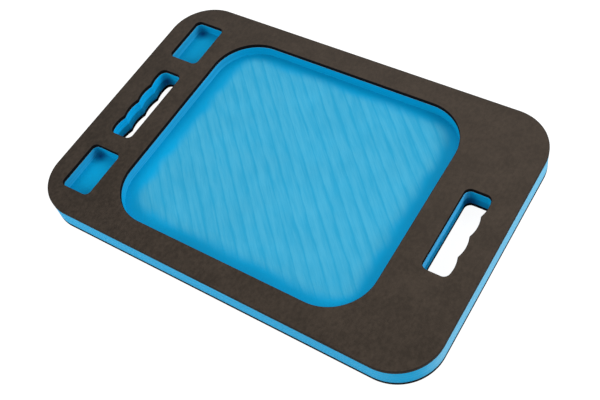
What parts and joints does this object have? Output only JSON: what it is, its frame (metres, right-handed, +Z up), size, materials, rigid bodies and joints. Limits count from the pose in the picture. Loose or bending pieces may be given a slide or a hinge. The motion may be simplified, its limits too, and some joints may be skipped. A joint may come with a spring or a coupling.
{
  "type": "mechanics creeper pad",
  "caption": "Flat laminated foam creeper pad with a shallow body well, small tool pockets and scalloped hand slots cut through both ends.",
  "frame": {"origin": "middle of the underside", "axes": "+X along the board towards the end that has only a hand slot; +Y across the board; +Z up, out of the well"},
  "size_m": [0.62, 0.42, 0.039],
  "materials": {
    "charcoal_skin": "matt closed-cell foam sheet, fine grain",
    "blue_core": "matt cut closed-cell foam",
    "bond_film": "thin adhesive film"
  },
  "bodies": {
    "root": {"top_skin": "charcoal_skin", "upper_bond": "bond_film", "core": "blue_core", "lower_bond": "bond_film", "base_skin": "charcoal_skin"}
  },
  "joints": []
}
